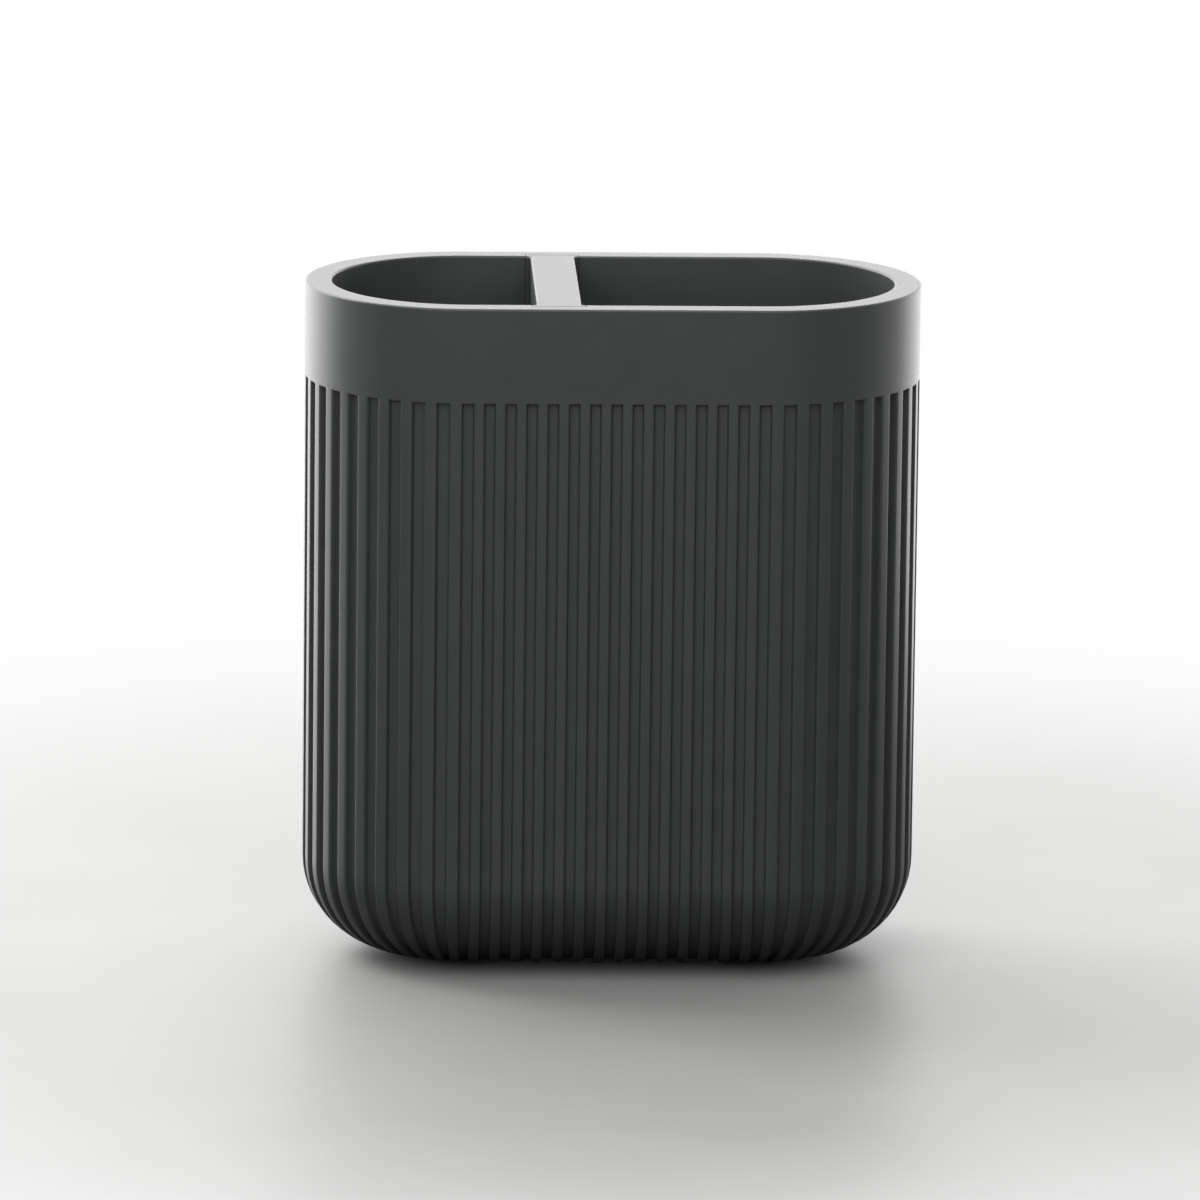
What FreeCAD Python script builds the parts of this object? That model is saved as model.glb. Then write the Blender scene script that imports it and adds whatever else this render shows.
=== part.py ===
import FreeCAD, Part
import os

# Toothbrush holder: a ribbed cast-resin vessel with rounded ends, a lift-out divider that parts it
# into two wells, and four rubber pads under its foot. Millimetres. X runs along the holder,
# Y from front to back, Z up from the surface it stands on.

# Overall form
overall_length = 108.0
overall_depth = 56.6
overall_height = 120.3
foot_width = 22.6

# Shell
wall = 4.7
floor_thickness = 4.7
rim_bevel = 0.5

# Ribs: one pitch is a rib and the groove beside it
pitches_per_side = 14
pitches_per_end = 20
groove_share = 0.5
groove_depth = 1.0
band_height = 16.8

# Divider panel and the housing that its edges stand in
divider_thickness = 7.8
divider_place = -10.1
divider_tongue = 1.5
divider_cove = 0.8
divider_clearance = 0.25
divider_corner_relief = 2.0
divider_bevel = 0.5

# Foot pads
pad_diameter = 8.0
pad_thickness = 1.6
pad_recess = 0.8
pad_clearance = 0.15
pad_bevel = 0.3

# Cutting tools reach this far past the faces that they open
reach = 2.0

# Worked out from the sizes above
end_radius = overall_depth / 2
straight_half = overall_length / 2 - end_radius
foot_half = foot_width / 2
bottom_rounding = end_radius - foot_half
foot_level = pad_thickness - pad_recess
band_level = overall_height - band_height
well_radius = end_radius - wall
well_rounding = bottom_rounding - wall
floor_level = foot_level + floor_thickness

origin = FreeCAD.Vector(0, 0, 0)
up = FreeCAD.Vector(0, 0, 1)
along = FreeCAD.Vector(1, 0, 0)


def outline(*steps):
    """Closed wire in the XZ plane through (x, z) points; a step of two points is an arc through the first."""
    def at(point):
        return FreeCAD.Vector(point[0], 0, point[1])

    edges = []
    here = at(steps[0])
    for step in steps[1:] + steps[:1]:
        if isinstance(step[0], tuple):
            there = at(step[1])
            edges.append(Part.Arc(here, at(step[0]), there).toShape())
        else:
            there = at(step)
            edges.append(Part.LineSegment(here, there).toShape())
        here = there
    return Part.Wire(edges)


def arc_middle(centre_x, centre_z, radius, x_side, z_side):
    """Middle point of a quarter round, on the side of its centre that the two signs give."""
    leg = radius * 0.5 ** 0.5
    return (centre_x + x_side * leg, centre_z + z_side * leg)


def facing_front(profile):
    """Face of a profile drawn outwards along +X, turned so that outwards is the front, -Y."""
    return Part.Face(profile).rotated(origin, up, -90)


def half_turned(shape):
    """The same shape on the opposite side and end of the holder."""
    return shape.rotated(origin, up, 180)


def round_ended(profile):
    """Solid of rounded-end plan: the profile runs along both sides and turns round both ends."""
    front = facing_front(profile)
    side = front.translated(along * -straight_half).extrude(along * 2 * straight_half)
    end = front.revolve(origin, up, 180).translated(along * straight_half)
    half = side.fuse(end)
    return half.fuse(half_turned(half)).removeSplitter()


def vessel_form():
    """Outside of the holder at the tops of the ribs, with the large rounding down to its foot."""
    bend = arc_middle(foot_half, foot_level + bottom_rounding, bottom_rounding, 1, -1)
    return round_ended(outline(
        (0, foot_level),
        (foot_half, foot_level),
        (bend, (end_radius, foot_level + bottom_rounding)),
        (end_radius, overall_height - rim_bevel),
        (end_radius - rim_bevel, overall_height),
        (0, overall_height)))


def well_form():
    """Hollow inside: straight walls, a rounded floor and a softened mouth."""
    bend = arc_middle(foot_half, floor_level + well_rounding, well_rounding, 1, -1)
    mouth = well_radius + rim_bevel
    return round_ended(outline(
        (0, floor_level),
        (foot_half, floor_level),
        (bend, (well_radius, floor_level + well_rounding)),
        (well_radius, overall_height - rim_bevel),
        (mouth, overall_height),
        (mouth, overall_height + reach),
        (0, overall_height + reach)))


def groove_profile():
    """Section of a groove between ribs, from the band down and round under to the edge of the foot."""
    inner_rounding = bottom_rounding - groove_depth
    bend = arc_middle(foot_half, foot_level + bottom_rounding, inner_rounding, 1, -1)
    return outline(
        (end_radius - groove_depth, band_level),
        (end_radius - groove_depth, foot_level + bottom_rounding),
        (bend, (foot_half, foot_level + groove_depth)),
        (foot_half, foot_level - reach),
        (end_radius + reach, foot_level - reach),
        (end_radius + reach, band_level))


def grooves():
    """Every groove: straight ones along the sides, turned ones round the ends, and both where they meet."""
    section = facing_front(groove_profile())
    pitch = 2 * straight_half / pitches_per_side
    step = 180 / pitches_per_end
    width = pitch * groove_share
    sweep = step * groove_share

    def straight_groove(left, length):
        return section.translated(along * left).extrude(along * length)

    def turned_groove(start, angle):
        placed = section.rotated(origin, up, start)
        return placed.revolve(origin, up, angle).translated(along * straight_half)

    first = straight_groove(straight_half - width / 2, width / 2).fuse(turned_groove(0, sweep / 2))
    last = turned_groove(180 - sweep / 2, sweep / 2)
    last = last.fuse(half_turned(straight_groove(-straight_half, width / 2)))
    half = [first, last]
    for count in range(1, pitches_per_side):
        half.append(straight_groove(-straight_half + count * pitch - width / 2, width))
    for count in range(1, pitches_per_end):
        half.append(turned_groove(count * step - sweep / 2, sweep))
    return half + [half_turned(groove) for groove in half]


def panel_blank(half_width, bottom, rounding, thickness):
    """Upright panel across the holder at the divider's place, with rounded lower corners, open-topped."""
    lower = bottom + rounding
    right = arc_middle(half_width - rounding, lower, rounding, 1, -1)
    left = (-right[0], right[1])
    section = Part.Face(outline(
        (half_width, overall_height),
        (-half_width, overall_height),
        (-half_width, lower),
        (left, (rounding - half_width, bottom)),
        (half_width - rounding, bottom),
        (right, (half_width, lower)))).rotated(origin, up, 90)
    return section.translated(along * (divider_place - thickness / 2)).extrude(along * thickness)


def edge_strips(half_width, bottom):
    """The two upright edges of the divider, which flare by a cove into the front and back walls."""
    half = divider_thickness / 2
    flare = half + divider_cove
    leg = divider_cove * 0.5 ** 0.5
    dip = divider_cove - leg
    root = well_radius - divider_cove
    bend = root + leg
    plan = []
    for points in (
            ((-half, root), (-half - dip, bend), (-flare, well_radius)),
            ((-flare, well_radius), (-flare, half_width)),
            ((-flare, half_width), (flare, half_width)),
            ((flare, half_width), (flare, well_radius)),
            ((flare, well_radius), (half + dip, bend), (half, root)),
            ((half, root), (-half, root))):
        spots = [FreeCAD.Vector(x, y, bottom) for x, y in points]
        curve = Part.Arc(*spots) if len(spots) == 3 else Part.LineSegment(*spots)
        plan.append(curve.toShape())
    strip = Part.Face(Part.Wire(plan)).extrude(up * (overall_height - bottom))
    return [shape.translated(along * divider_place) for shape in (strip, half_turned(strip))]


def divider_housing():
    """Room for the divider in the walls and floor: its own outline with clearance, wider at the coves."""
    half_width = well_radius + divider_tongue
    bottom = floor_level - divider_tongue
    slot = panel_blank(half_width, bottom, well_rounding + divider_tongue,
                       divider_thickness + 2 * divider_clearance)
    mouth_width = divider_thickness + 2 * (divider_cove + divider_clearance)
    cheek_bottom = floor_level + well_rounding
    cheek = Part.makeBox(mouth_width, 2 * half_width, overall_height - cheek_bottom + reach)
    cheek.translate(FreeCAD.Vector(divider_place - mouth_width / 2, -half_width, cheek_bottom))
    return [slot, cheek]


def divider():
    """Lift-out panel between the wells, flush with the rim and standing in its housing."""
    half_width = well_radius + divider_tongue - divider_clearance
    rounding = well_rounding + divider_tongue + divider_corner_relief
    panel = panel_blank(half_width, floor_level - divider_tongue, rounding, divider_thickness)
    strip_bottom = floor_level + well_rounding + divider_corner_relief
    panel = panel.fuse(edge_strips(half_width, strip_bottom)).removeSplitter()
    top_edges = []
    for edge in panel.Edges:
        middle = edge.valueAt((edge.FirstParameter + edge.LastParameter) / 2)
        if abs(middle.z - overall_height) < 1e-6 and abs(middle.y) < well_radius - 1e-6:
            top_edges.append(edge)
    return panel.makeChamfer(divider_bevel, top_edges)


def pad_places():
    """Names and plan positions of the four pads, under the ends of the straight sides."""
    for end, x in (("left", -straight_half), ("right", straight_half)):
        for side, y in (("front", -foot_half / 2), ("rear", foot_half / 2)):
            yield f"foot_pad_{side}_{end}", x, y


def foot_pad(x, y):
    """Round rubber pad, bevelled at the edge that it stands on."""
    pad = Part.makeCylinder(pad_diameter / 2, pad_thickness, FreeCAD.Vector(x, y, 0))
    lower = [edge for edge in pad.Edges if edge.BoundBox.ZMax < pad_thickness / 2]
    return pad.makeChamfer(pad_bevel, lower)


def pad_seat(x, y):
    """Shallow round recess in the foot that the pad is bonded into."""
    radius = pad_diameter / 2 + pad_clearance
    return Part.makeCylinder(radius, reach + pad_recess, FreeCAD.Vector(x, y, foot_level - reach))


def body():
    """The cast vessel: grooved outside, hollow inside, housed for the divider and recessed for the pads."""
    tools = [well_form()] + divider_housing()
    tools += [pad_seat(x, y) for name, x, y in pad_places()]
    return vessel_form().cut(tools).cut(grooves())


pieces = {"body": body(), "divider": divider()}
for name, x, y in pad_places():
    pieces[name] = foot_pad(x, y)

os.makedirs("parts", exist_ok=True)
for name, shape in pieces.items():
    solid = shape.Solids[0]
    box = solid.BoundBox
    print(f"{name}: solids {len(shape.Solids)}, valid {solid.isValid()}, volume {solid.Volume:.1f},"
          f" x {box.XMin:.2f}..{box.XMax:.2f}, y {box.YMin:.2f}..{box.YMax:.2f},"
          f" z {box.ZMin:.2f}..{box.ZMax:.2f}")
    solid.exportStep(f"parts/{name}.step")
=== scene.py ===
# %% [markdown]
# # Ribbed toothbrush holder
# A free-standing holder cast in charcoal resin: a vessel with rounded ends, a divider that parts it
# into a small and a large well and lifts out for rinsing, and four rubber pads under its foot.
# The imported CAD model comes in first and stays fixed. Every piece below is drawn in the same frame,
# in metres, and takes the place of the CAD node that it dresses.

# %% Load the fixed frame
import math

import bpy
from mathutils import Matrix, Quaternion, Vector


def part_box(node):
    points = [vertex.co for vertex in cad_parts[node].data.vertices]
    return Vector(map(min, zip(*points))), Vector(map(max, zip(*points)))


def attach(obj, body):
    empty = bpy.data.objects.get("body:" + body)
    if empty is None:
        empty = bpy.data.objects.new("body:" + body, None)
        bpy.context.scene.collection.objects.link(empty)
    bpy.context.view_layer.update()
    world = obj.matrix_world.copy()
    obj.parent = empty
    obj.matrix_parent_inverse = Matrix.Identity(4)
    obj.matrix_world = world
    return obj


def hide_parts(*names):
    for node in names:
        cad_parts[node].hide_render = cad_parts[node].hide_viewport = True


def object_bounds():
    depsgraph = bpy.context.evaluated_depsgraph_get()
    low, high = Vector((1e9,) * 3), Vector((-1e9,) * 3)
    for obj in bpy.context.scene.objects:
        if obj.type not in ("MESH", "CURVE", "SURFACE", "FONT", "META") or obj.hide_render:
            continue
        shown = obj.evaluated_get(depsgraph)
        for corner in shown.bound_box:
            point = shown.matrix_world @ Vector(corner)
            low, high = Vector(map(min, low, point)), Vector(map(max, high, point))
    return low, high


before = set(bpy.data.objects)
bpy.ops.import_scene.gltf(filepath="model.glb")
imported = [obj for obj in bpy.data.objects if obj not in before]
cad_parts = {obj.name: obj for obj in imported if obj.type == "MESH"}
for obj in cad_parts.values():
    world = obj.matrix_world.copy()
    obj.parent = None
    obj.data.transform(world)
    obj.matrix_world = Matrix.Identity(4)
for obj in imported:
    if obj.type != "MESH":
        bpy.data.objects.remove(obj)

cad_low, cad_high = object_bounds()
print("CAD box in metres:", tuple(cad_low), tuple(cad_high))

# %% [markdown]
# ## Sizes
# A maker thinks in millimetres, so the sizes are written that way and turned to metres only where a
# mesh is made. What the frame can say is read from it: the overall box and the level of the foot.
# The rest repeats the part's own sizes, because a mesh box can't tell how thick a wall is.

# %% Sizes of the vessel
MM = 0.001
length, depth, height = (cad_high - cad_low) / MM
end_radius = depth / 2
straight_half = length / 2 - end_radius
foot_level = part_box("body")[0].z / MM
bottom_rounding = 17.0
foot_half = end_radius - bottom_rounding
wall = 4.7
floor_thickness = 4.7
well_radius = end_radius - wall
well_rounding = bottom_rounding - wall
floor_level = foot_level + floor_thickness
print(f"vessel {length:.1f} x {depth:.1f} x {height:.1f} mm, foot {2 * foot_half:.1f} mm wide")

# %% [markdown]
# ## One way to make every piece
# All the pieces are closed skins over a stack of rings: outlines with the same number of points, one
# above the other, joined by quads and shut by a flat face at each end. A primitive and a chain of
# modifiers would do for a plain cup, but rings put each rounding and each groove exactly where the
# casting has it. The rings run counterclockwise seen from above, so all the faces look outwards.

# %% Skin a stack of rings
def skin(name, rings):
    """New object: a closed mesh over rings of (x, y, z) points in millimetres, capped at both ends."""
    count = len(rings[0])
    points = [tuple(value * MM for value in point) for ring in rings for point in ring]
    faces = [tuple(reversed(range(count)))]
    for row in range(len(rings) - 1):
        for column in range(count):
            after = (column + 1) % count
            low, high = row * count, (row + 1) * count
            faces.append((low + column, low + after, high + after, high + column))
    faces.append(tuple(range(len(points) - count, len(points))))
    mesh = bpy.data.meshes.new(name)
    mesh.from_pydata(points, [], faces)
    piece = bpy.data.objects.new(name, mesh)
    bpy.context.scene.collection.objects.link(piece)
    print(f"{name}: {len(rings)} rings of {count} points, {len(faces)} faces")
    return piece


def quarter(steps):
    """Angles of a quarter turn in equal steps, both ends included."""
    return [math.pi / 2 * step / steps for step in range(steps + 1)]


# %% [markdown]
# ## Ribs and grooves
# The outside is a comb of flat ribs, as wide as the grooves between them. A casting has no knife-sharp
# edges: each rib is rounded along its edges, each groove has a small round at its root, and its sides
# lean a little so that the casting leaves the mould. These are what catch the light, so they are
# drawn in the mesh. One side of a groove is written once, as steps from the top of the rib to the
# floor of the groove, and serves for both sides and both ends of all the grooves.

# %% One side of a groove
pitches_per_side = 14
pitches_per_end = 20
groove_share = 0.5
groove_depth = 1.0
rib_edge = 0.3
rib_edge_steps = 3
groove_root = 0.2
groove_root_steps = 2
groove_draft = 0.1

groove_side = []
for angle in quarter(rib_edge_steps):
    groove_side.append((rib_edge * (math.sin(angle) - 1), rib_edge * (1 - math.cos(angle))))
for angle in quarter(groove_root_steps):
    groove_side.append((groove_draft + groove_root * (1 - math.cos(angle)),
                        groove_depth - groove_root * (1 - math.sin(angle))))
print("groove side (towards the groove, down):", [(round(a, 2), round(b, 2)) for a, b in groove_side])

# %% [markdown]
# In plan the holder is two straight sides and two half-round ends. Walking once round it gives the
# columns of the mesh: for each, the point on the middle line that it belongs to, the way it faces and
# how deep the groove is there. The grooves are spread evenly on the sides and by angle on the ends,
# with one on the very line where a side turns into an end.

# %% Columns round the plan
def columns_along(run, pitches, widest):
    """(distance, groove depth) along a run that starts and ends in the middle of a groove."""
    pitch = run / pitches
    half = groove_share * pitch / 2
    columns = []
    for count in range(pitches):
        start = count * pitch
        columns.append((start, groove_depth))
        columns += [(start + half - towards, down) for towards, down in reversed(groove_side)]
        columns.append((start + pitch / 2, 0.0))
        columns += [(start + pitch - half + towards, down) for towards, down in groove_side]
    columns.append((run, groove_depth))
    fine = []
    for (here, down), (there, _) in zip(columns, columns[1:]):
        parts = max(1, math.ceil((there - here) / widest))
        fine += [(here + (there - here) * part / parts, down) for part in range(parts)]
    return fine


# The widest that a face may be: the sides are flat, but the ends need finer faces to look round.
widest_on_side = 1.0
widest_on_end = 0.45
plan = []
for way in (1, -1):
    for distance, down in columns_along(2 * straight_half, pitches_per_side, widest_on_side):
        plan.append((way * (distance - straight_half), 0.0, -way, down))
    for distance, down in columns_along(math.pi * end_radius, pitches_per_end, widest_on_end):
        angle = distance / end_radius - math.pi / 2
        plan.append((way * straight_half, way * math.cos(angle), way * math.sin(angle), down))
print(f"{len(plan)} columns, {2 * (pitches_per_side + pitches_per_end)} grooves")

# %% [markdown]
# ## The wall's section
# Seen in section, the casting runs from the flat foot round the large bottom rounding, up the side to
# the smooth band, over the rim and down into the well. Each level of the mesh is one point of that
# line, with the way it faces and how deep a groove may be there. The limit rises and falls with the
# same groove side as before, so the grooves end squarely under the band and at the edge of the foot.

# %% Levels of the outside
band_height = 16.8
band_level = height - band_height
turn_steps = 14
side_steps = 6


def round_the_bottom(travel):
    """Point and facing of the section at a distance from the edge of the foot, inwards if negative."""
    if travel < 0:
        return foot_half + travel, foot_level, 0.0, -1.0
    angle = travel / bottom_rounding
    return (foot_half + bottom_rounding * math.sin(angle),
            foot_level + bottom_rounding * (1 - math.cos(angle)),
            math.sin(angle), -math.cos(angle))


levels = [round_the_bottom(towards) + (down,) for towards, down in groove_side]
turn_start = groove_side[-1][0]
turn_length = bottom_rounding * math.pi / 2 - turn_start
for step in range(1, turn_steps + 1):
    levels.append(round_the_bottom(turn_start + turn_length * step / turn_steps) + (groove_depth,))
side_start = foot_level + bottom_rounding
side_length = band_level - groove_side[-1][0] - side_start
for step in range(1, side_steps):
    levels.append((end_radius, side_start + side_length * step / side_steps, 1.0, 0.0, groove_depth))
for towards, down in reversed(groove_side):
    levels.append((end_radius, band_level - towards, 1.0, 0.0, down))
levels.append((end_radius, (band_level + height) / 2, 1.0, 0.0, 0.0))
print(f"{len(levels)} levels from the foot to the band")

# %% [markdown]
# The rim is flat with softly rounded edges, and the inside is smooth: a straight wall and a rounded
# floor, drawn with no groove at all.

# %% Levels of the rim and the well
rim_edge = 0.35
rim_ring = 0.25
edge_steps = 4
wall_steps = 4
floor_steps = 10

for angle in quarter(edge_steps):
    levels.append((end_radius - rim_edge * (1 - math.cos(angle)),
                   height - rim_edge * (1 - math.sin(angle)), 1.0, 0.0, 0.0))
# Two more rings on the flat, close to its roundings, keep all between them truly flat in the light.
for inset in (end_radius - rim_edge - rim_ring, well_radius + rim_edge + rim_ring):
    levels.append((inset, height, 1.0, 0.0, 0.0))
for angle in quarter(edge_steps):
    levels.append((well_radius + rim_edge * (1 - math.sin(angle)),
                   height - rim_edge * (1 - math.cos(angle)), 1.0, 0.0, 0.0))
well_turn = floor_level + well_rounding
for step in range(1, wall_steps):
    levels.append((well_radius, height - rim_edge + (well_turn - height + rim_edge) * step / wall_steps,
                   1.0, 0.0, 0.0))
for angle in quarter(floor_steps):
    levels.append((foot_half + well_rounding * math.cos(angle),
                   well_turn - well_rounding * math.sin(angle), 1.0, 0.0, 0.0))
print(f"{len(levels)} levels in all, down to the well floor at {floor_level:.1f} mm")

# %% [markdown]
# A column and a level meet in one point of the surface: out from the middle line by the section's
# reach, less the groove's depth square to the surface. Because the depth follows the facing of the
# section, the grooves keep their depth all the way under the rounded bottom, as on the real holder.

# %% Skin the vessel
def surface_point(column, level):
    """Where a column of the plan meets a level of the section."""
    middle, out_x, out_y, groove = column
    reach, rise, facing_out, facing_up, limit = level
    sink = min(groove, limit)
    reach -= sink * facing_out
    return middle + reach * out_x, reach * out_y, rise - sink * facing_up


vessel = skin("cast_vessel", [[surface_point(column, level) for column in plan] for level in levels])

# %% [markdown]
# ## Housing for the divider and seats for the pads
# The divider stands in a shallow channel down both walls and across the floor, and each pad in a
# round recess under the foot. On the real casting the mould's core leaves them. Here they are cut
# with one Boolean, because they cross the columns and levels of the skin freely.

# %% Tools in the shape of the housing and the seats
divider_low, divider_high = (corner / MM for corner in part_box("divider"))
divider_middle = (divider_low.x + divider_high.x) / 2
divider_thickness = 7.8
# The solids leave 0.25 mm for the divider to slide in. The seam is drawn at 0.1 mm, as fine as it looks.
clearance = 0.1
tongue = 1.5
corner_steps = 8
# The housing's tool reaches this far past the rim.
past_rim = 2.0
cove = (divider_high.x - divider_low.x - divider_thickness) / 2


def rectangle(half_x, half_y, rise):
    """Ring of four corners round the divider's middle line."""
    return [(divider_middle + half_x * x, half_y * y, rise) for x, y in ((-1, -1), (1, -1), (1, 1), (-1, 1))]


channel_half = divider_thickness / 2 + clearance
channel_reach = well_radius + tongue
channel_floor = floor_level - tongue
channel_turn = well_rounding + tongue
rings = []
for angle in quarter(corner_steps):
    rings.append(rectangle(channel_half, channel_reach - channel_turn * (1 - math.sin(angle)),
                           channel_floor + channel_turn * (1 - math.cos(angle))))
rings.append(rectangle(channel_half + cove, channel_reach, channel_floor + channel_turn))
rings.append(rectangle(channel_half + cove, channel_reach, height + past_rim))
tools = [skin("housing_tool", rings)]

# %% [markdown]
# The pads' own boxes in the frame say where their seats go. A round ring serves for the seat and,
# later on, for the pad itself.

# %% Seats and the cut
pad_names = [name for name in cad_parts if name.startswith("foot_pad_")]
round_points = 48
seat_clearance = 0.15
past_foot = 1.0


def round_ring(node, radius, rise):
    """Ring of points round the middle of a pad."""
    low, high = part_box(node)
    middle = (low + high) / 2 / MM
    turns = [2 * math.pi * step / round_points for step in range(round_points)]
    return [(middle.x + radius * math.cos(turn), middle.y + radius * math.sin(turn), rise) for turn in turns]


pad_low, pad_high = (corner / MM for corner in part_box(pad_names[0]))
pad_radius = (pad_high.x - pad_low.x) / 2
for name in pad_names:
    seat = [round_ring(name, pad_radius + seat_clearance, rise)
            for rise in (foot_level - past_foot, pad_high.z)]
    tools.append(skin(name + "_seat_tool", seat))

cutters = bpy.data.collections.new("cutters")
bpy.context.scene.collection.children.link(cutters)
for tool in tools:
    cutters.objects.link(tool)
cut = vessel.modifiers.new("housing_and_seats", "BOOLEAN")
cut.operation = "DIFFERENCE"
cut.solver = "MANIFOLD"
cut.operand_type = "COLLECTION"
cut.collection = cutters
solid = bpy.data.meshes.new_from_object(vessel.evaluated_get(bpy.context.evaluated_depsgraph_get()))
vessel.modifiers.clear()
vessel.data = solid
for tool in tools:
    bpy.data.objects.remove(tool)
bpy.data.collections.remove(cutters)
print(f"vessel after the cut: {len(solid.polygons)} faces")

# %% [markdown]
# ## The divider
# The divider is a thick panel, flush with the rim. Its top edges are rounded, and where it meets the
# walls it flares into them by a small cove before its tongues go into the channel. Its lower corners
# follow the rounded floor. It is one skin: the same outline at every level, with the half width, the
# cove and the inset of the top rounding changing as it rises.

# %% Skin the divider
divider_edge = 0.4
foot_cove = 0.1
corner_relief = 2.0
corner_turn = channel_turn + corner_relief
tongue_reach = divider_high.y - well_radius


def divider_outline(half_width, cove_now, inset, rise):
    """Ring round the divider: straight faces, coves into the walls and tongues at the ends."""
    half = divider_thickness / 2
    face = half_width - tongue_reach
    corner = [(half + cove_now - (cove_now + inset) * math.cos(angle),
               face - cove_now + (cove_now + inset) * math.sin(angle)) for angle in quarter(edge_steps)]
    corner.append((half + cove_now, half_width))
    ring = [(x, -y) for x, y in reversed(corner)] + corner
    ring += [(-x, -y) for x, y in ring]
    return [(divider_middle + x, y, rise) for x, y in ring]


rings = []
for angle in quarter(corner_steps):
    rings.append(divider_outline(divider_high.y - corner_turn * (1 - math.sin(angle)), foot_cove, 0.0,
                                 divider_low.z + corner_turn * (1 - math.cos(angle))))
rings.append(divider_outline(divider_high.y, cove, 0.0, divider_low.z + corner_turn + 2 * cove))
for angle in quarter(edge_steps):
    rings.append(divider_outline(divider_high.y, cove, divider_edge * (1 - math.cos(angle)),
                                 height - divider_edge * (1 - math.sin(angle))))
divider = skin("lift_out_divider", rings)

# %% [markdown]
# ## Foot pads
# Round rubber bumpers, bonded into their seats so that half of their thickness stands proud. The edge
# that meets the counter is rounded, as on a moulded pad.

# %% Skin the pads
pad_edge = 0.35
pads = {}
for name in pad_names:
    rings = [round_ring(name, pad_radius - pad_edge * (1 - math.sin(angle)), pad_edge * (1 - math.cos(angle)))
             for angle in quarter(edge_steps)]
    rings.append(round_ring(name, pad_radius, pad_high.z))
    pads[name] = skin(name.replace("foot", "rubber"), rings)

# %% [markdown]
# ## Smooth shading
# The roundings are a few flat strips each. Smooth shading blends them, edges sharper than a set angle
# stay crisp, and the weighted normals keep the large flats truly flat up to where a rounding begins.

# %% Shade the pieces
sharp_angle = math.radians(40)
for piece in [vessel, divider, *pads.values()]:
    mesh = piece.data
    mesh.shade_smooth()
    mesh.set_sharp_from_angle(angle=sharp_angle)
    weighted = piece.modifiers.new("flat_faces_stay_flat", "WEIGHTED_NORMAL")
    weighted.keep_sharp = True
    print(f"{piece.name}: {len(mesh.polygons)} faces, box {[round(v / MM, 2) for v in piece.dimensions]} mm")

# %% [markdown]
# ## Colours and nodes
# Colours are written as sRGB hex, as a paint chart would give them, and turned to the linear values
# that the shader works in. Pattern sizes are written in millimetres: a texture's scale is how many of
# its features fit in a metre.

# %% Helpers for materials
def linear(hex_colour):
    """Linear RGBA of an sRGB hex colour."""
    channels = [int(hex_colour[at:at + 2], 16) / 255 for at in (1, 3, 5)]
    return [c / 12.92 if c <= 0.04045 else ((c + 0.055) / 1.055) ** 2.4 for c in channels] + [1.0]


def per_metre(millimetres):
    """Texture scale that makes one feature about this large."""
    return 1 / (millimetres * MM)


def add_node(tree, kind, settings=None, links=None):
    """Add a node, fill its properties or sockets from settings, and link outputs into its sockets."""
    node = tree.nodes.new(kind)
    for key, value in (settings or {}).items():
        if isinstance(key, str) and hasattr(node, key):
            setattr(node, key, value)
        else:
            node.inputs[key].default_value = value
    for key, output in (links or {}).items():
        tree.links.new(output, node.inputs[key])
    return node


def new_material(name):
    """Empty node material and its tree."""
    material = bpy.data.materials.new(name)
    material.use_nodes = True
    material.node_tree.nodes.clear()
    return material, material.node_tree


print("charcoal in linear light:", [round(value, 4) for value in linear("#434546")])

# %% [markdown]
# ## Cast resin
# The holder is a mineral-filled polyester resin, poured into a matt mould. The filler gives the
# charcoal a faint cloudiness a few millimetres across, and the mould's fine tooth scatters the light:
# dull from straight on, but bright along surfaces seen at a shallow angle, where any plastic starts to
# mirror. So the finish is a dielectric with the index of polyester and a medium roughness, and the
# clouds and the tooth move its colour, roughness and relief a little.

# %% Matt cast resin
resin, tree = new_material("cast_resin_matt_charcoal")
place = add_node(tree, "ShaderNodeTexCoord").outputs["Object"]
clouds = add_node(tree, "ShaderNodeTexNoise", {"Scale": per_metre(7.0), "Detail": 3.0, "Roughness": 0.55},
                  {"Vector": place})
# The real tooth is about 0.05 mm; it is drawn at 0.35 mm, the finest that still shows.
tooth = add_node(tree, "ShaderNodeTexNoise", {"Scale": per_metre(0.35), "Detail": 2.0, "Roughness": 0.6},
                 {"Vector": place})
pigment = add_node(tree, "ShaderNodeMix", {"data_type": "RGBA", 6: linear("#3d3f40"), 7: linear("#454748")},
                   {0: clouds.outputs["Fac"]})
gloss = add_node(tree, "ShaderNodeMapRange",
                 {"From Min": 0.25, "From Max": 0.75, "To Min": 0.35, "To Max": 0.43},
                 {"Value": tooth.outputs["Fac"]})
relief = add_node(tree, "ShaderNodeBump", {"Strength": 0.25, "Distance": 0.02 * MM},
                  {"Height": tooth.outputs["Fac"]})
surface = add_node(tree, "ShaderNodeBsdfPrincipled", {"IOR": 1.54},
                   {"Base Color": pigment.outputs[2], "Roughness": gloss.outputs["Result"],
                    "Normal": relief.outputs["Normal"]})
add_node(tree, "ShaderNodeOutputMaterial", links={"Surface": surface.outputs["BSDF"]})
print(resin.name, "has", len(tree.nodes), "nodes")

# %% [markdown]
# ## Moulded rubber
# The pads are black rubber, moulded with a fine stipple that leaves them almost without gloss.

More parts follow.
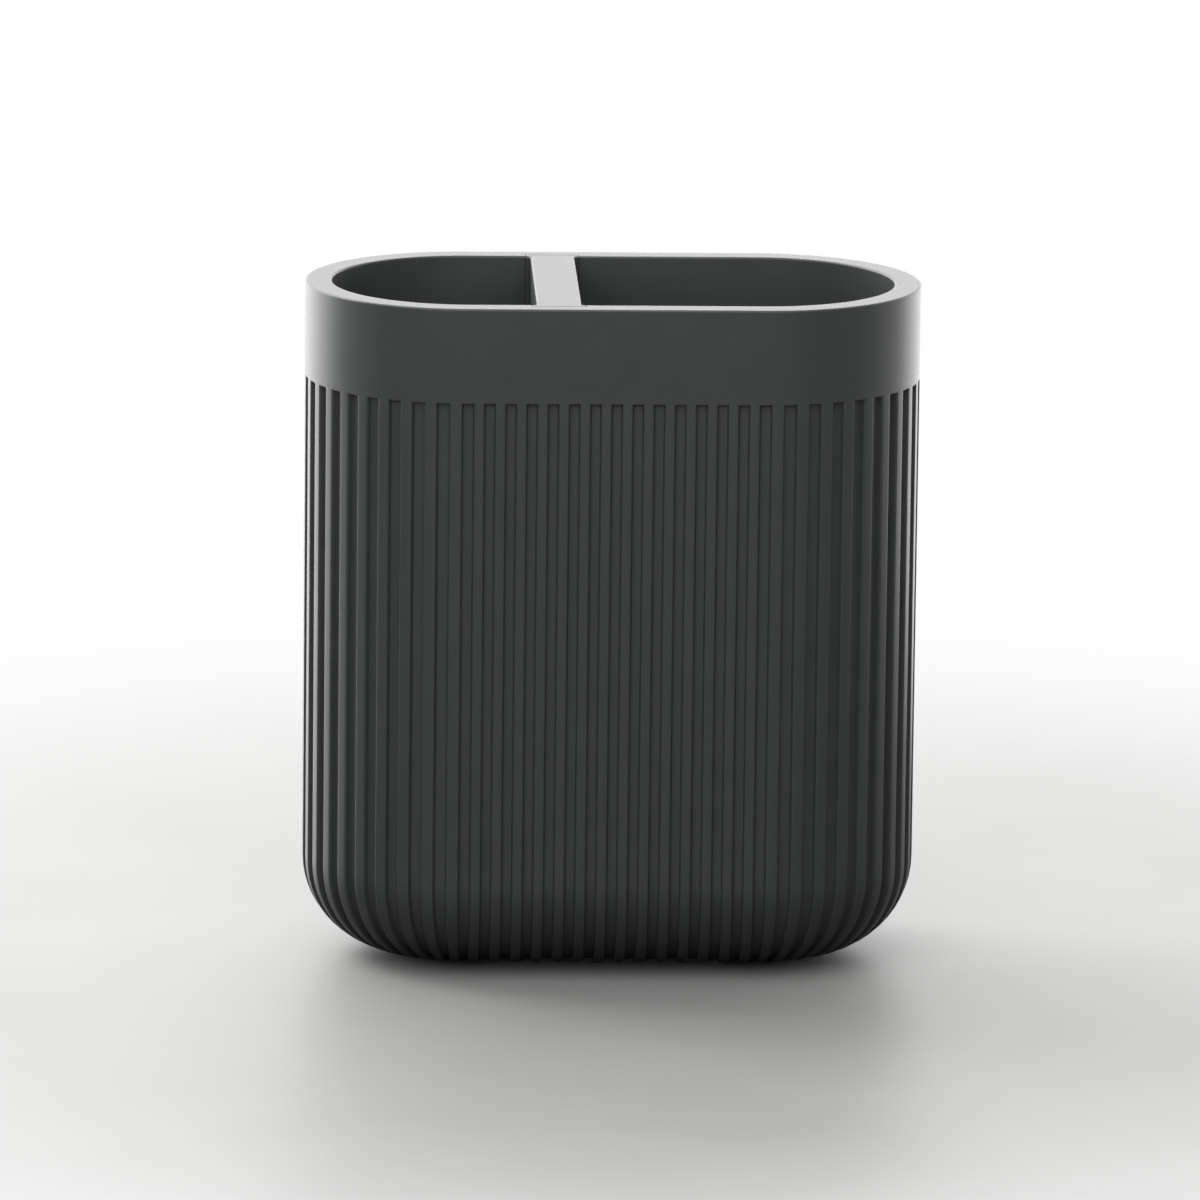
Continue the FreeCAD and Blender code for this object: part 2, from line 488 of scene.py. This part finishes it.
# %% Stippled rubber
rubber, tree = new_material("moulded_rubber_stippled")
place = add_node(tree, "ShaderNodeTexCoord").outputs["Object"]
stipple = add_node(tree, "ShaderNodeTexVoronoi", {"Scale": per_metre(0.5)}, {"Vector": place})
bloom = add_node(tree, "ShaderNodeTexNoise", {"Scale": per_metre(2.5), "Detail": 2.0}, {"Vector": place})
tone = add_node(tree, "ShaderNodeMix", {"data_type": "RGBA", 6: linear("#1c1c1c"), 7: linear("#292928")},
                {0: bloom.outputs["Fac"]})
relief = add_node(tree, "ShaderNodeBump", {"Strength": 0.5, "Distance": 0.05 * MM},
                  {"Height": stipple.outputs["Distance"]})
dullness = add_node(tree, "ShaderNodeMapRange", {"To Min": 0.72, "To Max": 0.86},
                    {"Value": bloom.outputs["Fac"]})
surface = add_node(tree, "ShaderNodeBsdfPrincipled", {"IOR": 1.52},
                   {"Base Color": tone.outputs[2], "Roughness": dullness.outputs["Result"],
                    "Normal": relief.outputs["Normal"]})
add_node(tree, "ShaderNodeOutputMaterial", links={"Surface": surface.outputs["BSDF"]})
print(rubber.name, "has", len(tree.nodes), "nodes")

# %% [markdown]
# ## Dress the frame
# Each piece gets its finish, rides on the CAD body that it belongs to, and stands for its CAD node.
# The divider has a body of its own, so it lifts with it.

# %% Ride and replace
for piece, finish, node, body, slot in (
        [(vessel, resin, "body", "holder", "cast_resin"),
         (divider, resin, "divider", "divider_panel", "cast_resin")]
        + [(pad, rubber, name, "holder", "pad_rubber") for name, pad in pads.items()]):
    piece.data.materials.clear()
    piece.data.materials.append(finish)
    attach(piece, body)
    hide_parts(node)
    print(f"{piece.name} rides on {body} in place of {node}")

# %% [markdown]
# ## Counter
# The holder stands on a pale stone counter. A flat disc is enough for it, and a small one is best: the
# upright ends of the holder mirror what lies beyond it, the bright windows, and not only the stone.

# %% Disc of the counter
floor_radius = 0.32
disc_points = 96
turns = [2 * math.pi * step / disc_points for step in range(disc_points)]
mesh = bpy.data.meshes.new("counter")
mesh.from_pydata([(floor_radius * math.cos(turn), floor_radius * math.sin(turn), 0.0) for turn in turns],
                 [], [tuple(range(disc_points))])
counter = bpy.data.objects.new("counter", mesh)
bpy.context.scene.collection.objects.link(counter)
print("counter", 2 * floor_radius, "m across")

# %% [markdown]
# Honed stone is ground flat but not polished: a soft grey with faint clouds, and a low sheen that picks
# up the window at a shallow angle. Three things go by the kind of ray that meets it. The camera sees it
# fade to the white of the background away from the holder, so no view shows its edge. Light that
# bounces from it finds a darker stone, which keeps the underside of the holder in shade. Reflections
# that leave the holder towards the window pass through it, because at that shallow angle the real
# counter is a mirror, and shows them the window again.

# %% Honed stone
# The way to the window, and where the fade and the mirror begin and end, in metres from the holder.
window_way = (-0.6, 0.8, 0.0)
fade_start, fade_end = 0.12, 0.31
mirror_start, mirror_end = 0.03, 0.09
stone, tree = new_material("honed_pale_stone")
place = add_node(tree, "ShaderNodeTexCoord").outputs["Object"]
veins = add_node(tree, "ShaderNodeTexNoise", {"Scale": per_metre(40.0), "Detail": 6.0}, {"Vector": place})
tone = add_node(tree, "ShaderNodeMix", {"data_type": "RGBA", 6: linear("#9a9998"), 7: linear("#a5a4a3")},
                {0: veins.outputs["Fac"]})
ray = add_node(tree, "ShaderNodeLightPath")
shown = add_node(tree, "ShaderNodeMix", {"data_type": "RGBA", 6: linear("#4a4949")},
                 {0: ray.outputs["Is Camera Ray"], 7: tone.outputs[2]})
surface = add_node(tree, "ShaderNodeBsdfPrincipled", {"Roughness": 0.5, "IOR": 1.45},
                   {"Base Color": shown.outputs[2]})
white = add_node(tree, "ShaderNodeEmission", {"Color": linear("#ffffff"), "Strength": 1.0})
distance = add_node(tree, "ShaderNodeVectorMath", {"operation": "LENGTH"}, {0: place})
fade = add_node(tree, "ShaderNodeMapRange",
                {"interpolation_type": "SMOOTHSTEP", "From Min": fade_start, "From Max": fade_end},
                {"Value": distance.outputs["Value"]})
faded = add_node(tree, "ShaderNodeMath", {"operation": "MULTIPLY"},
                 {0: fade.outputs["Result"], 1: ray.outputs["Is Camera Ray"]})
to_window = add_node(tree, "ShaderNodeVectorMath", {"operation": "DOT_PRODUCT", 1: window_way}, {0: place})
gleam = add_node(tree, "ShaderNodeMapRange",
                 {"interpolation_type": "SMOOTHSTEP", "From Min": mirror_start, "From Max": mirror_end},
                 {"Value": to_window.outputs["Value"]})
mirrored = add_node(tree, "ShaderNodeMath", {"operation": "MULTIPLY"},
                    {0: gleam.outputs["Result"], 1: ray.outputs["Is Glossy Ray"]})
passed = add_node(tree, "ShaderNodeBsdfTransparent")
glazed = add_node(tree, "ShaderNodeMixShader",
                  links={0: mirrored.outputs["Value"], 1: surface.outputs["BSDF"], 2: passed.outputs["BSDF"]})
blend = add_node(tree, "ShaderNodeMixShader",
                 links={0: faded.outputs["Value"], 1: glazed.outputs["Shader"], 2: white.outputs["Emission"]})
add_node(tree, "ShaderNodeOutputMaterial", links={"Surface": blend.outputs["Shader"]})
counter.data.materials.append(stone)
print(stone.name, "has", len(tree.nodes), "nodes")

# %% [markdown]
# ## Light
# The holder stands in front of bright windows, a little to their right: the rim and the turning ends
# mirror them at a shallow angle, and the front is lit by the dim room alone. The world is that room. It
# is bright behind the holder and falls off towards the front, and the camera sees it plain white.

# %% The room
dim_front, bright_back = 0.20, 1.4
world = bpy.data.worlds.new("daylit_room")
bpy.context.scene.world = world
world.use_nodes = True
tree = world.node_tree
tree.nodes.clear()
toward = add_node(tree, "ShaderNodeTexCoord").outputs["Generated"]
axes = add_node(tree, "ShaderNodeSeparateXYZ", links={0: toward})
level = add_node(tree, "ShaderNodeMapRange",
                 {"interpolation_type": "SMOOTHSTEP", "From Min": -0.5, "From Max": 0.8,
                  "To Min": dim_front, "To Max": bright_back},
                 {"Value": axes.outputs["Y"]})
room = add_node(tree, "ShaderNodeBackground", {"Color": linear("#ffffff")},
                {"Strength": level.outputs["Result"]})
white = add_node(tree, "ShaderNodeBackground", {"Color": linear("#ffffff"), "Strength": 1.0})
ray = add_node(tree, "ShaderNodeLightPath")
direct = add_node(tree, "ShaderNodeMath", {"operation": "MAXIMUM"},
                  {0: ray.outputs["Is Camera Ray"], 1: ray.outputs["Is Transmission Ray"]})
blend = add_node(tree, "ShaderNodeMixShader",
                 links={0: direct.outputs["Value"], 1: room.outputs["Background"],
                        2: white.outputs["Background"]})
add_node(tree, "ShaderNodeOutputWorld", links={"Surface": blend.outputs["Shader"]})
print(f"{world.name}: {dim_front} in front, {bright_back} behind")

# %% [markdown]
# Four soft rectangles give the light its direction. Two are the windows: the left one is larger and
# nearer, so the left end is the brighter one, and both reach below the counter's level, where the
# upright sides mirror them. A small skylight lifts the left side of the rim. The room's own light comes
# from the front and above, and is wide enough to leave both sides of a groove evenly dark. A sun or a
# point lamp would draw hard shadows there.

# %% The lamps
def soft_lamp(name, place, width, tall, watts):
    """Rectangular lamp at a place in metres, facing the middle of the holder."""
    data = bpy.data.lights.new(name, "AREA")
    data.shape = "RECTANGLE"
    data.size = width
    data.size_y = tall
    data.energy = watts
    lamp = bpy.data.objects.new(name, data)
    lamp.location = place
    lamp.rotation_mode = "QUATERNION"
    lamp.rotation_quaternion = (Vector((0, 0, height * MM / 2)) - lamp.location).to_track_quat("-Z", "Y")
    bpy.context.scene.collection.objects.link(lamp)
    print(f"{name}: {width} x {tall} m, {watts} W")


soft_lamp("window", (-0.7, 0.72, 0.45), 1.06, 1.5, 14.0)
soft_lamp("far_window", (0.34, 0.94, 0.1), 1.45, 0.8, 7.2)
soft_lamp("skylight", (-0.66, 0.34, 0.72), 0.35, 0.35, 2.6)
soft_lamp("room_fill", (-0.08, -0.4, 0.43), 0.75, 0.75, 2.65)

# %% [markdown]
# ## Camera
# The photograph was taken with a long lens from a little above and a touch to the left, and the camera
# was not quite level. The viewing angles come from fitting the rim, the grooves and the outline. The
# holder sits slightly right of and below the middle of the frame, so the camera aims a few millimetres
# beside its centre and needs no shift.

# %% Long lens from above the rim
azimuth, elevation, roll = math.radians(-1.91), math.radians(12.06), math.radians(0.66)
aim_left, aim_up = 1.71 * MM, 2.88 * MM
stand_off = 2.0
pixels_per_metre = 5673
frame_pixels = 1200
centre = Vector((0, 0, height * MM / 2))
camera_data = bpy.data.cameras.new("camera")
camera_data.sensor_width = 36
camera_data.lens = pixels_per_metre * stand_off / frame_pixels * camera_data.sensor_width
camera = bpy.data.objects.new("camera", camera_data)
back = Vector((math.sin(azimuth) * math.cos(elevation), -math.cos(azimuth) * math.cos(elevation),
               math.sin(elevation)))
camera.location = centre + back * stand_off
side = back.cross(Vector((0, 0, -1))).normalized()
aim = centre - side * aim_left + back.cross(side) * aim_up
camera.rotation_mode = "QUATERNION"
camera.rotation_quaternion = ((aim - camera.location).to_track_quat("-Z", "Y")
                              @ Quaternion((0, 0, 1), roll))
bpy.context.scene.collection.objects.link(camera)
bpy.context.scene.camera = camera
bpy.context.scene.view_settings.view_transform = "Standard"
print(f"lens {camera_data.lens:.1f} mm at {stand_off} m")
